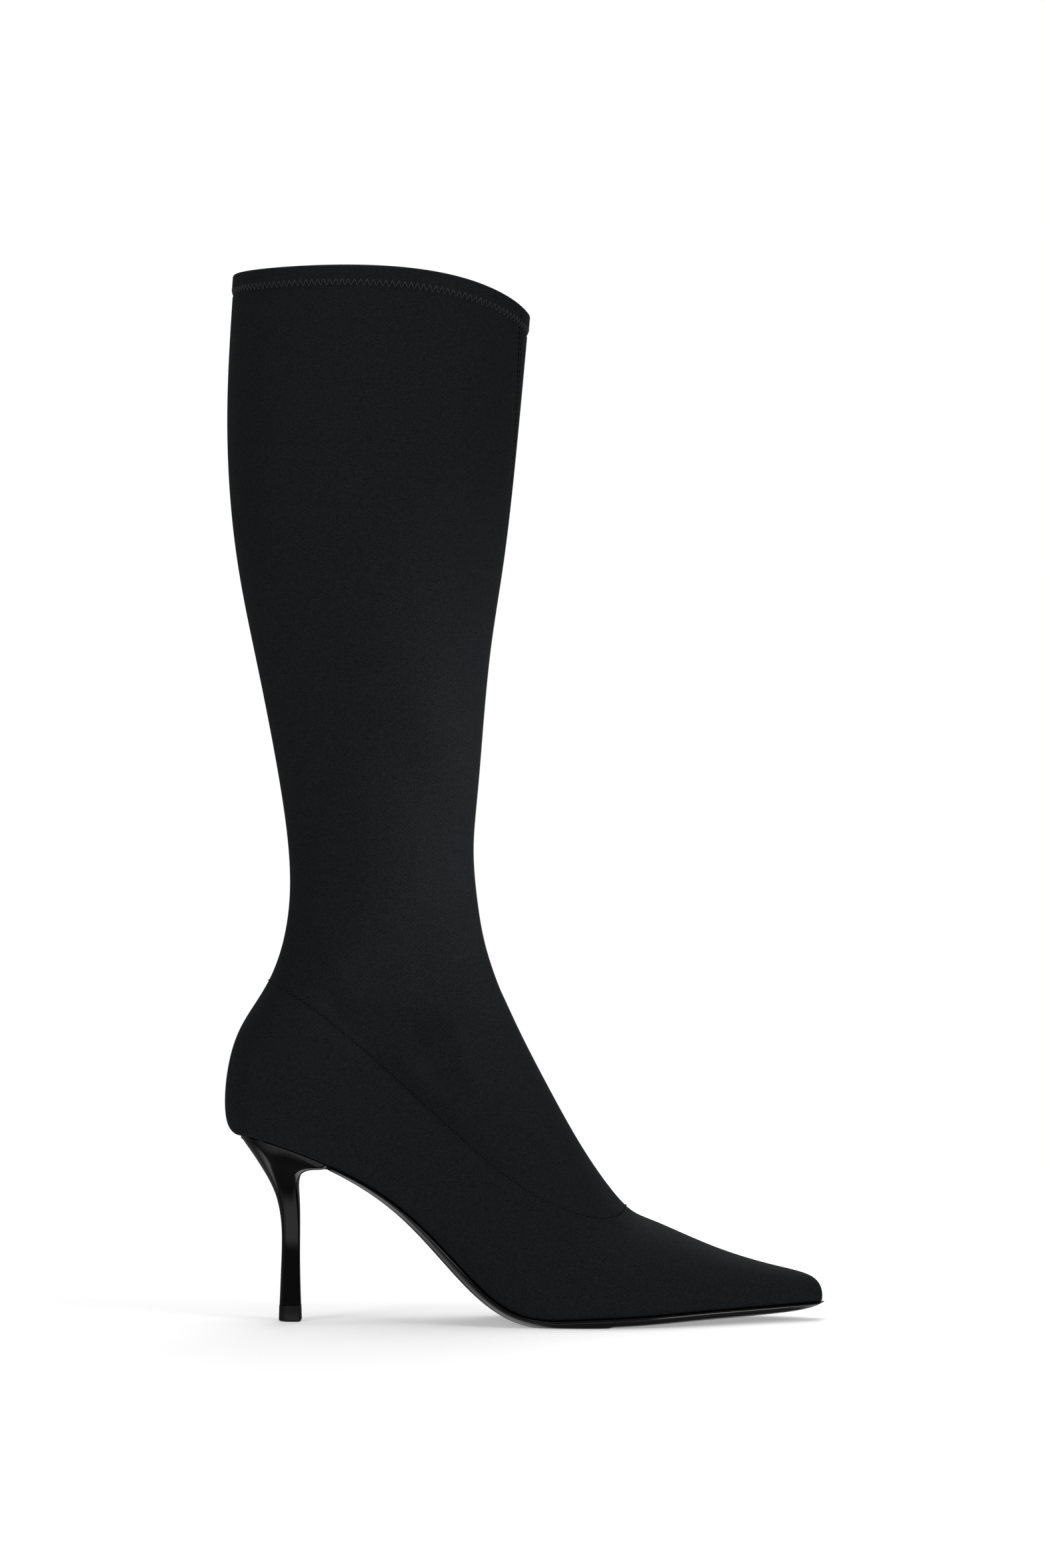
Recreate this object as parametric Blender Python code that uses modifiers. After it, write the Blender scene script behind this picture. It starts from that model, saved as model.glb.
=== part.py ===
"""A right stretch boot, knee high, with a pointed toe and a stiletto heel.

Run it with blender --background --python part.py, or from Blender's text editor.
The scene is in metres: +X points to the toe, +Y to the wearer's left (the inner side of this boot), +Z up.
The origin lies on the floor, under the middle of the boot's box. All the tables are in millimetres, with x
measured from the back of the heel and z from the floor.
"""

import bmesh
import bpy
import numpy as np

MM = 0.001

# Driving sizes
LENGTH = 260.2  # back of the heel to the tip of the toe
BOX_MIDDLE = 130.7  # middle of the whole boot, with the edge of the sole round the toe
WALL_FOOT = 2.0  # bonded stretch cloth with its stiffener and lining
WALL_SHAFT = 1.5  # bonded stretch cloth alone
COLLAR_ARC = 9.2  # how far the sides of the collar rise above the line from its front to its back
COLLAR_LEAN = 0.62  # under 1 brings the highest place of that rise forward
HEM_DEPTH = 7.5  # turned and stitched edge at the collar
HEM_STEP = 0.5  # how far the doubled hem stands out of the shaft
WALL_HEM = 2.4
GAP = 0.3  # between pieces that meet
INSOLE_THICK = 2.0
HEEL_SEAT_ROUND = 24.0  # length over which the round back of the heel seat fills out
TIP_HEIGHT = 7.0  # the wearing top piece of the heel

# How finely the pieces are divided
AROUND = 28  # steps from the front of the boot to its back, on each side
FOOT_ROWS = (0.0, 0.035, 0.09, 0.17, 0.27, 0.40, 0.55, 0.70, 0.86, 1.0)
SHAFT_ROWS = (
    0.0, 0.045, 0.09, 0.14, 0.19, 0.245, 0.30, 0.355, 0.41, 0.47, 0.54, 0.61, 0.69, 0.77, 0.85, 0.92,
)
SOLE_STATIONS = 34
SAMPLES = 800  # places at which a curve is tried to find the one with a given x
HALVINGS = 40  # steps in the search for the section through a point
NEAR_TIP = 1e-3  # the search starts just past the toe tip, where a section has no length

# One row for each section of the last, from the toe to the collar. A section is seen edge on from the side as
# a straight line, from its low end on the sole or the back of the leg to its high end on the ridge or the
# shin. lateral and medial are its greatest half widths, found at the share "widest" of the line's length;
# sole_lateral and sole_medial are those at the sole; swing is how far the ridge lies to the inner side; crown
# is the fullness towards the ridge; sole is the outsole's thickness, and bevel how far its tread is set in.
SECTION_COLUMNS = (
    "low_x", "low_z", "high_x", "high_z", "lateral", "medial", "sole_lateral", "sole_medial",
    "swing", "widest", "crown", "sole", "bevel",
)
SECTIONS = {
    "toe tip": (LENGTH, 8.3, LENGTH, 8.3, 0.0, 0.0, 0.0, 0.0, 6.0, 0.40, 2.0, 1.4, 1.2),
    "toe nose": (257.8, 8.0, 260.1, 12.8, 4.8, 4.7, 4.2, 4.1, 6.0, 0.40, 2.0, 2.3, 1.5),
    "toe box": (250.0, 7.6, 255.0, 19.2, 9.6, 9.2, 8.6, 8.2, 5.7, 0.36, 2.0, 3.6, 1.9),
    "toe": (233.0, 7.0, 237.5, 24.2, 17.6, 16.2, 16.2, 14.8, 4.8, 0.32, 1.9, 4.3, 2.2),
    "vamp": (208.0, 6.2, 212.5, 32.2, 29.2, 26.2, 27.4, 24.2, 3.2, 0.28, 1.8, 4.5, 2.4),
    "ball": (181.0, 4.9, 188.0, 42.8, 38.6, 35.4, 36.4, 32.8, 1.4, 0.27, 1.8, 4.6, 2.6),
    "throat": (156.0, 3.9, 174.6, 50.0, 41.0, 37.6, 37.6, 33.0, 0.2, 0.28, 1.85, 4.5, 3.0),
    "forepart": (132.5, 4.3, 160.4, 68.0, 38.4, 35.0, 33.4, 27.8, -0.4, 0.30, 1.9, 4.2, 5.0),
    "waist": (110.0, 17.9, 147.6, 89.2, 34.4, 31.4, 27.0, 21.6, -0.4, 0.32, 1.9, 5.4, 7.0),
    "shank": (79.0, 49.0, 134.5, 113.7, 31.6, 30.0, 23.4, 20.2, 0.0, 0.34, 1.9, 3.6, 5.0),
    "breast": (44.0, 69.7, 126.5, 129.8, 30.6, 30.0, 23.8, 22.6, 0.0, 0.34, 1.9, 1.7, 1.6),
    "heel seat": (14.5, 80.0, 121.5, 140.6, 30.2, 29.9, 24.0, 23.4, 0.0, 0.33, 1.9, 1.3, 1.0),
    "heel end": (2.7, 83.0, 118.6, 147.4, 30.1, 29.9, 23.6, 23.4, 0.0, 0.33, 1.9, 1.3, 1.0),
    "counter": (0.25, 98.8, 113.5, 163.2, 30.4, 30.2, 23.6, 23.4, 0.0, 0.35, 1.9, 1.3, 1.0),
    "counter top": (6.0, 125.4, 110.2, 181.2, 31.0, 31.0, 23.6, 23.4, 0.0, 0.40, 1.95, 1.3, 1.0),
    "tendon": (20.0, 149.4, 108.6, 197.2, 31.6, 31.6, 23.6, 23.4, 0.0, 0.46, 2.0, 1.3, 1.0),
    "ankle": (28.3, 184.2, 108.7, 213.2, 32.8, 32.8, 23.6, 23.4, 0.0, 0.50, 2.0, 1.3, 1.0),
    "shin": (24.6, 230.2, 111.1, 240.2, 36.2, 36.2, 23.6, 23.4, 0.0, 0.50, 2.0, 1.3, 1.0),
    "low calf": (14.2, 285.2, 115.4, 288.2, 43.0, 43.0, 23.6, 23.4, 0.0, 0.49, 2.0, 1.3, 1.0),
    "calf": (5.0, 334.2, 121.8, 332.2, 49.4, 49.4, 23.6, 23.4, 0.0, 0.48, 2.0, 1.3, 1.0),
    "top of calf": (1.2, 391.2, 127.7, 385.2, 52.0, 52.0, 23.6, 23.4, 0.0, 0.49, 2.0, 1.3, 1.0),
    "collar": (4.2, 454.4, 132.5, 437.2, 50.6, 50.6, 23.6, 23.4, 0.0, 0.50, 2.0, 1.3, 1.0),
}
SECTION_NAMES = list(SECTIONS)
TOE = 0
THROAT = SECTION_NAMES.index("throat")
HEEL_END = SECTION_NAMES.index("heel end")
SEAM_BACK = SECTION_NAMES.index("tendon") - 0.05
COLLAR = len(SECTIONS) - 1

# The seam between the foot and the shaft, seen from the side, from the throat to the back of the heel
SEAM = {
    "x": (174.6, 168.0, 151.8, 125.8, 93.8, 62.6, 34.0, 19.4),
    "z": (50.0, 46.9, 49.6, 63.1, 90.4, 118.5, 141.0, 148.4),
}

# The edge of the outsole, from its top to its tread: share of the thickness, and how far it stands out of the
# upper's foot in plan, plus what share of the bevel it is set in
SOLE_EDGE = {
    "rim": (0.0, 0.5, 0.0),
    "bead": (0.16, 0.9, 0.0),
    "groove": (0.36, 0.5, 0.1),
    "wall": (0.84, 0.3, 0.5),
    "tread": (1.0, 0.0, 1.0),
}

# One row for each section of the heel, from its seat down to its tip: back and front edge seen from the side,
# half width, the shares of the depth over which the back and the front corners are round, and how far the
# breast is hollowed
HEEL_COLUMNS = ("back_x", "back_z", "front_x", "front_z", "half", "round", "corner", "hollow")
HEEL_SECTIONS = {
    "rim": (6.8, 78.4, 45.2, 65.8, 22.4, 0.55, 0.08, 4.0),
    "cup": (8.9, 76.7, 40.6, 66.1, 20.9, 0.55, 0.10, 3.2),
    "flare": (11.7, 73.6, 36.0, 65.7, 18.4, 0.55, 0.14, 2.2),
    "shoulder": (15.2, 68.4, 33.3, 63.6, 15.0, 0.52, 0.20, 1.6),
    "neck": (19.0, 62.0, 32.2, 59.6, 11.2, 0.48, 0.26, 0.9),
    "stem": (22.3, 54.6, 32.5, 53.6, 7.8, 0.44, 0.30, 0.5),
    "waist": (24.3, 45.6, 32.8, 45.6, 5.5, 0.41, 0.32, 0.3),
    "thin": (24.9, 35.6, 32.8, 35.6, 4.4, 0.40, 0.32, 0.2),
    "shin": (24.6, 24.0, 32.8, 24.0, 4.7, 0.40, 0.32, 0.2),
    "foot": (24.2, 14.0, 33.0, 14.0, 5.3, 0.40, 0.31, 0.2),
    "end": (23.9, TIP_HEIGHT + GAP, 33.2, TIP_HEIGHT + GAP, 5.7, 0.40, 0.30, 0.2),
}
# The heel's top, which follows the underside of the sole
HEEL_SEAT = {"back_x": 6.2, "front_x": 46.5, "half": 22.6, "round": 0.55, "corner": 0.06, "hollow": 4.0}
HEEL_CORNER_IN = 0.34  # how far in the corners reach along the breast, in shares of the half width
HEEL_LEVELS = 26  # sections drawn between the rows above
HEEL_BACK_STEPS = 6  # steps round the back of a section, on each side
HEEL_CORNER_STEPS = 4
HEEL_BREAST = (0.0, 0.5)  # places from the middle of the breast outwards, in shares of its half width

# The tip has a flatter side than the heel above it. Its levels give the height and how far it stands out.
TIP_ROUND = 0.5
TIP_CORNER = 0.12
TIP_LEVELS = {
    "top": (TIP_HEIGHT, 0.05),
    "side": (4.0, 0.20),
    "corner": (0.6, 0.30),
    "rest": (0.0, -0.20),
}


def spline(values):
    """A smooth curve through values at 0, 1, 2 and so on, as a function of an array of places."""
    points = np.asarray(values, float)
    count = len(points)
    system = np.eye(count)
    bends = np.zeros(count)
    for i in range(1, count - 1):
        system[i, i - 1 : i + 2] = (1, 4, 1)
        bends[i] = 3 * (points[i + 1] - 2 * points[i] + points[i - 1])
    bends = np.linalg.solve(system, bends)

    def at(place):
        place = np.asarray(place, float)
        i = np.clip(np.floor(place).astype(int), 0, count - 2)
        t = place - i
        slope = points[i + 1] - points[i] - (2 * bends[i] + bends[i + 1]) / 3
        return points[i] + t * (slope + t * (bends[i] + t * (bends[i + 1] - bends[i]) / 3))

    return at


def columns_of(names, table):
    return {name: spline(column) for name, column in zip(names, zip(*table.values()))}


LAST = columns_of(SECTION_COLUMNS, SECTIONS)
HEEL = columns_of(HEEL_COLUMNS, HEEL_SECTIONS)
SEAM_LINE = {axis: spline(values) for axis, values in SEAM.items()}


def low_end(s):
    """Where section s starts in the side view: on the sole, and past the heel on the back of the leg."""
    return np.stack([LAST["low_x"](s), LAST["low_z"](s)], -1)


def high_end(s):
    """Where section s ends in the side view: on the ridge of the foot or the shin."""
    return np.stack([LAST["high_x"](s), LAST["high_z"](s)], -1)


def sole_half_width(s, side):
    """Half width of the foot where it meets the sole, drawn in to a round end at the heel."""
    from_end = np.clip((LAST["low_x"](s) - LAST["low_x"](HEEL_END)) / HEEL_SEAT_ROUND, 0, 1)
    round_end = np.sqrt(1 - (1 - from_end) ** 2)
    return np.where(np.asarray(s) < HEEL_END, LAST["sole_" + side](s) * round_end, 0.0)


def half_width(s, t, side):
    """Half width of section s at the share t of its line, from the low end to the high end."""
    full = LAST[side](np.maximum(s, NEAR_TIP))
    foot = np.minimum(sole_half_width(s, side), full)
    widest = LAST["widest"](s)
    below = np.clip((widest - t) / widest, 0, 1)
    above = np.clip((t - widest) / (1 - widest), 0, 1)
    turn = 0.5 + 0.5 * (foot / full) ** 2
    low = foot + (full - foot) * (1 - below**2) ** turn
    high = full * np.sqrt(1 - above ** LAST["crown"](s))
    return np.where(t < widest, low, high)


def section_through(points):
    """The section and the share of its line at each side view point, found by halving."""
    first = np.full(points.shape[:-1], NEAR_TIP)
    last = np.full(points.shape[:-1], float(COLLAR))
    for _ in range(HALVINGS):
        s = (first + last) / 2
        line = high_end(s) - low_end(s)
        reach = points - low_end(s)
        ahead = line[..., 0] * reach[..., 1] - line[..., 1] * reach[..., 0] > 0
        first, last = np.where(ahead, s, first), np.where(ahead, last, s)
    line = high_end(s) - low_end(s)
    share = np.sum((points - low_end(s)) * line, -1) / np.sum(line**2, -1)
    return s, np.clip(share, 0, 1)


def seam_point(across):
    """A point of the seam in the side view, at a share of its length in x."""
    places = np.linspace(0, len(SEAM["x"]) - 1, SAMPLES)
    x = SEAM["x"][0] + (SEAM["x"][-1] - SEAM["x"][0]) * across
    place = np.interp(-x, -SEAM_LINE["x"](places), places)
    return np.stack([SEAM_LINE["x"](place), SEAM_LINE["z"](place)], -1)


def feather_station(across):
    """The section whose low end lies at a share of the sole's length, from the toe to the heel."""
    places = np.linspace(TOE, HEEL_END, SAMPLES)
    low_x = LAST["low_x"](places)
    return np.interp(-(low_x[0] + (low_x[-1] - low_x[0]) * across), -low_x, places)


def patch(across, up, low_edge, high_edge, front, back):
    """Side view points of a panel between four edges, blended evenly from all of them."""
    a, u = across[None, :, None], up[:, None, None]
    ruled_up = (1 - u) * low_edge[None] + u * high_edge[None]
    ruled_across = (1 - a) * front[:, None] + a * back[:, None]
    corners = (1 - u) * ((1 - a) * low_edge[0] + a * low_edge[-1])
    corners = corners + u * ((1 - a) * high_edge[0] + a * high_edge[-1])
    return ruled_up + ruled_across - corners


def shares_across(steps):
    """Shares from the front to the back, closer together towards both ends, where the panel turns round."""
    return (1 - np.cos(np.linspace(0, np.pi, steps + 1))) / 2


def ring_rows(side_view):
    """Closed rows of 3D points: the outer side from front to back, then the inner side back to the front."""
    s, t = section_through(side_view)
    t[:, 0] = 1.0
    swing = LAST["swing"](s)
    outer = swing - half_width(s, t, "lateral")
    inner = swing + half_width(s, t, "medial")
    x, z = side_view[..., 0], side_view[..., 1]
    outer_points = np.stack([x, outer, z], -1)
    inner_points = np.stack([x, inner, z], -1)
    return np.concatenate([outer_points, inner_points[:, -2:0:-1]], 1)


def foot_rows():
    across, up = shares_across(AROUND), np.array(FOOT_ROWS)
    front = high_end(THROAT * up)
    back = low_end(HEEL_END + (SEAM_BACK - HEEL_END) * up)
    feather, seam = low_end(feather_station(across)), seam_point(across)
    feather[0], seam[0], seam[-1] = front[0], front[-1], back[-1]
    return ring_rows(patch(across, up, feather, seam, front, back))


def shaft_rows(ups):
    across, up = shares_across(AROUND), np.array(ups)
    front = high_end(THROAT + (COLLAR - THROAT) * up)
    back = low_end(SEAM_BACK + (COLLAR - SEAM_BACK) * up)
    seam = seam_point(across)
    seam[0], seam[-1] = high_end(THROAT), low_end(SEAM_BACK)
    collar = high_end(COLLAR) + across[:, None] * (low_end(COLLAR) - high_end(COLLAR))
    collar[:, 1] += COLLAR_ARC * np.sin(np.pi * across**COLLAR_LEAN)
    return ring_rows(patch(across, up, seam, collar, front, back))


def moved_towards(row, neighbour, distance):
    """The row moved by a distance along the surface, towards the row next to it."""
    way = neighbour - row
    return row + way * distance / np.linalg.norm(way, axis=-1, keepdims=True)


def outward(row, neighbour):
    """Unit vectors out of the surface at a closed row, with the next row of the surface given."""
    along = np.roll(row, -1, 0) - np.roll(row, 1, 0)
    normal = np.cross(along, neighbour - row)
    return normal / np.linalg.norm(normal, axis=-1, keepdims=True)


def in_frame(points):
    """From millimetres, with x from the back of the heel, to the boot's own frame in metres."""
    return (np.asarray(points) - (BOX_MIDDLE, 0, 0)) * MM


def mesh_object(name, bm):
    mesh = bpy.data.meshes.new(name)
    bm.to_mesh(mesh)
    bm.free()
    mesh.shade_smooth()
    piece = bpy.data.objects.new(name, mesh)
    BOOT.objects.link(piece)
    return piece


def add_rings(bm, rows):
    """Skins closed rows of points, given from the top down, and returns the rows of vertices."""
    rings = [[bm.verts.new(p) for p in in_frame(row)] for row in rows]
    for high, low in zip(rings, rings[1:]):
        for i in range(len(high)):
            j = (i + 1) % len(high)
            bm.faces.new((high[i], high[j], low[j], low[i]))
    return rings


def close_across(bm, ring, facing_up):
    """Closes a ring whose two sides mirror each other with strips from side to side."""
    count = len(ring)
    for i in range(count // 2):
        strip = [ring[i], ring[i + 1], ring[count - i - 1], ring[(count - i) % count]]
        corners = list(dict.fromkeys(strip))
        bm.faces.new(corners[::-1] if facing_up else corners)


def solid(name, rows):
    """A closed solid through closed rows of points, given from the top down."""
    bm = bmesh.new()
    rings = add_rings(bm, rows)
    close_across(bm, rings[0], facing_up=True)
    close_across(bm, rings[-1], facing_up=False)
    return mesh_object(name, bm)


def skin(name, rows):
    """An open skin through closed rows of points, given from the bottom up."""
    bm = bmesh.new()
    add_rings(bm, rows[::-1])
    return mesh_object(name, bm)


def wall(piece, thickness, hem_group=None, share=1.0):
    """Thickens a skin inwards; the hem group gets the whole thickness and the other vertices a share."""
    solidify = piece.modifiers.new("Wall", "SOLIDIFY")
    solidify.thickness = thickness * MM
    solidify.offset = -1
    if hem_group:
        solidify.vertex_group = hem_group
        solidify.thickness_vertex_group = share


def make_upper():
    """The foot of the boot: vamp and quarters in one, open to the shaft above and to the sole below."""
    rows = foot_rows()
    rows[-1] = moved_towards(rows[-1], rows[-2], GAP / 2)
    piece = skin("upper", rows)
    wall(piece, WALL_FOOT)
    return piece


def make_shaft():
    """The stretch leg, from the seam to the collar, with its hem as a step in the wall."""
    leg = LAST["high_z"](COLLAR) - LAST["high_z"](THROAT)
    hem_low = 1 - HEM_DEPTH / leg
    ups = SHAFT_ROWS + (hem_low - HEM_STEP / leg, hem_low, 1.0)
    rows = shaft_rows(ups)
    rows[0] = moved_towards(rows[0], rows[1], GAP / 2)
    hem_count = 2
    for i in range(len(ups) - hem_count, len(ups)):
        rows[i] = rows[i] + HEM_STEP * outward(rows[i], rows[i - 1])
    piece = skin("shaft", rows)
    group = piece.vertex_groups.new(name="hem")
    around = 2 * AROUND
    group.add(list(range(around * hem_count)), 1.0, "REPLACE")
    wall(piece, WALL_HEM, "hem", WALL_SHAFT / WALL_HEM)
    return piece


def sole_outline(stations):
    """The line where the foot meets the sole, as a ring from the toe round the outer side and the heel."""
    low = low_end(stations)
    swing = LAST["swing"](stations)
    outer = np.stack([low[:, 0], swing - sole_half_width(stations, "lateral"), low[:, 1]], -1)
    inner = np.stack([low[:, 0], swing + sole_half_width(stations, "medial"), low[:, 1]], -1)
    return np.concatenate([outer, inner[-2:0:-1]])


def plan_outward(ring):
    """Unit vectors pointing out of a ring seen from above."""
    along = np.roll(ring, -1, 0) - np.roll(ring, 1, 0)
    normal = np.stack([-along[:, 1], along[:, 0], np.zeros(len(ring))], -1)
    return normal / np.linalg.norm(normal, axis=-1, keepdims=True)


def round_trip(values):
    """Values given from the toe to the heel, repeated on the way back along the inner side."""
    return np.concatenate([values, values[-2:0:-1]])


def sole_down(stations):
    """Unit vectors square to the sole's line in the side view, pointing down."""
    step = 0.02
    after, before = np.clip(stations + step, TOE, HEEL_END), np.clip(stations - step, TOE, HEEL_END)
    along = low_end(after) - low_end(before)
    along = along / np.linalg.norm(along, axis=-1, keepdims=True)
    return np.stack([-along[:, 1], np.zeros(len(along)), along[:, 0]], -1)


def sole_ring(stations, out, down):
    """The sole's outline set out in plan and moved down square to the sole, but not below the floor."""
    ring = sole_outline(stations)
    ring = ring + plan_outward(ring) * round_trip(out)[:, None]
    ring = ring + round_trip(sole_down(stations) * down[:, None])
    ring[:, 2] = np.maximum(ring[:, 2], 0)
    return ring


def sole_stations(first=0.0, last=1.0):
    return feather_station(first + (last - first) * shares_across(SOLE_STATIONS))


def make_outsole():
    """The whole sole in one moulding: forepart, arched waist and the thin seat over the heel."""
    stations = sole_stations()
    thickness, bevel = LAST["sole"](stations), LAST["bevel"](stations)
    rows = []
    for share, out, set_in in SOLE_EDGE.values():
        down = GAP + (thickness - GAP) * share
        rows.append(sole_ring(stations, out - set_in * bevel, down))
    return solid("outsole", rows)


def make_insole():
    """The board that the foot stands on, inside the upper and above the sole."""
    stations = sole_stations()
    inset = np.full(len(stations), -(WALL_FOOT + 2 * GAP))
    rows = [sole_ring(stations, inset, np.full(len(stations), -height)) for height in (INSOLE_THICK, 0.0)]
    return solid("insole", rows)


def heel_ring(back, front, half, round_share, corner, hollow, out=0.0):
    """A heel section: round behind, flat at the sides, with round corners to a hollowed breast in front."""
    behind = np.linspace(0, np.pi / 2, HEEL_BACK_STEPS + 1)
    before = np.linspace(0, np.pi / 2, HEEL_CORNER_STEPS + 1)
    depth, wide = front[0] - back[0] + 2 * out, half + out
    breast = np.array(HEEL_BREAST)
    breast_x = depth - hollow * (1 - breast**2)
    breast_y = breast * wide * (1 - HEEL_CORNER_IN)
    corner_x = depth * (1 - corner * (1 - np.sin(before[::-1])))
    corner_y = wide * (1 - HEEL_CORNER_IN * (1 - np.cos(before[::-1])))
    back_x = depth * round_share * (1 - np.cos(behind[::-1]))
    back_y = wide * np.sin(behind[::-1])
    x = back[0] - out + np.concatenate([breast_x, corner_x, back_x])
    y = np.concatenate([breast_y, corner_y, back_y])
    xs, ys = np.concatenate([x, x[-2:0:-1]]), np.concatenate([-y, y[-2:0:-1]])
    zs = back[1] + (front[1] - back[1]) * (xs - back[0]) / (front[0] - back[0])
    return np.stack([xs, ys, zs], -1)


def under_sole(x):
    """Height of the outsole's underside, at places along the boot."""
    stations = np.linspace(TOE, HEEL_END, SAMPLES)
    under = low_end(stations) + (sole_down(stations) * LAST["sole"](stations)[:, None])[:, (0, 2)]
    return np.interp(-x, -under[:, 0], under[:, 1])


def heel_rows():
    places = np.linspace(0, len(HEEL_SECTIONS) - 1, HEEL_LEVELS)
    rows = []
    for place in places:
        values = {name: curve(place) for name, curve in HEEL.items()}
        back, front = (values["back_x"], values["back_z"]), (values["front_x"], values["front_z"])
        form = values["half"], values["round"], values["corner"], values["hollow"]
        rows.append(heel_ring(back, front, *form))
    return rows


def make_heel():
    """The moulded stiletto heel, cupped under the seat and hollow at the breast."""
    back, front = (HEEL_SEAT["back_x"], 0.0), (HEEL_SEAT["front_x"], 0.0)
    form = HEEL_SEAT["half"], HEEL_SEAT["round"], HEEL_SEAT["corner"], HEEL_SEAT["hollow"]
    seat = heel_ring(back, front, *form)
    seat[:, 2] = under_sole(seat[:, 0]) - GAP
    return solid("heel", [seat] + heel_rows())


def make_heel_tip():
    """The wearing top piece under the heel."""
    end = dict(zip(HEEL_COLUMNS, HEEL_SECTIONS["end"]))
    rows = []
    for height, out in TIP_LEVELS.values():
        back, front = (end["back_x"], height), (end["front_x"], height)
        rows.append(heel_ring(back, front, end["half"], TIP_ROUND, TIP_CORNER, end["hollow"], out))
    return solid("heel_tip", rows)


def material(name, colour, roughness):
    made = bpy.data.materials.new(name)
    made.use_nodes = True
    shader = made.node_tree.nodes["Principled BSDF"]
    shader.inputs["Base Color"].default_value = (*colour, 1.0)
    shader.inputs["Roughness"].default_value = roughness
    shader.inputs["Metallic"].default_value = 0.0
    return made


for leftover in list(bpy.data.objects):
    bpy.data.objects.remove(leftover)
BOOT = bpy.data.collections.new("stretch boot")
bpy.context.scene.collection.children.link(BOOT)

black_cloth = material("black stretch cloth", (0.012, 0.012, 0.013), 0.85)
black_sole = material("black moulded sole", (0.012, 0.012, 0.012), 0.35)
black_lacquer = material("black lacquer", (0.008, 0.008, 0.008), 0.08)
black_tip = material("black top piece", (0.015, 0.015, 0.015), 0.45)
grey_board = material("dark sock lining", (0.030, 0.029, 0.028), 0.8)

make_upper().data.materials.append(black_cloth)
make_shaft().data.materials.append(black_cloth)
make_outsole().data.materials.append(black_sole)
make_insole().data.materials.append(grey_board)
make_heel().data.materials.append(black_lacquer)
make_heel_tip().data.materials.append(black_tip)
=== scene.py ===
"""The finished look of a right stretch boot, knee high, on a stiletto heel.

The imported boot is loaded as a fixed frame, and each of its pieces is made again here with its finish, in
the order in which a boot is put together. Tables are in millimetres, with x from the back of the heel, y
from the middle of the boot to its inner side and z from the floor.
"""

import bpy
import numpy as np
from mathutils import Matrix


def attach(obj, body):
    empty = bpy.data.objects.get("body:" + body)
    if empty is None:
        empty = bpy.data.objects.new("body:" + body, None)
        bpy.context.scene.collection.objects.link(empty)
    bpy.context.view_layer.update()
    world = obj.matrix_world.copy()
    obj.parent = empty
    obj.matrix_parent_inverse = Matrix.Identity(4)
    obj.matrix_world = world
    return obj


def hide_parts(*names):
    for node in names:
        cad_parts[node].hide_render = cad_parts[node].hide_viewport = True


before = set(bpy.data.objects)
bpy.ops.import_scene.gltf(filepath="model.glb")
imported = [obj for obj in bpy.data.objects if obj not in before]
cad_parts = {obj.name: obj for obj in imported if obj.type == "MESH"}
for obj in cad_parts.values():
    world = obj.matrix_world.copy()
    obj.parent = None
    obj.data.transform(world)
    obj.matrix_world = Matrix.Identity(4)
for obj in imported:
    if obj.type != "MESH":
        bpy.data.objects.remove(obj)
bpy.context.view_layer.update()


# Insole board
# The stiff board inside the boot, with a dark napped sock lining on its top. The upper's edge is turned in
# under it and cemented. Like every later piece it follows the last, whose sections are given here.

MM = 0.001
LENGTH = 260.2
BOX_MIDDLE = 130.7
GAP = 0.3
WALL_FOOT = 2.0
INSOLE_THICK = 2.0
INSOLE_EDGE = 0.5
INSOLE_AROUND = 80
INSOLE_SHARP = 50.0
HEEL_SEAT_ROUND = 24.0
SAMPLES = 800
HALVINGS = 30
NEAR_TIP = 1e-3

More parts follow.
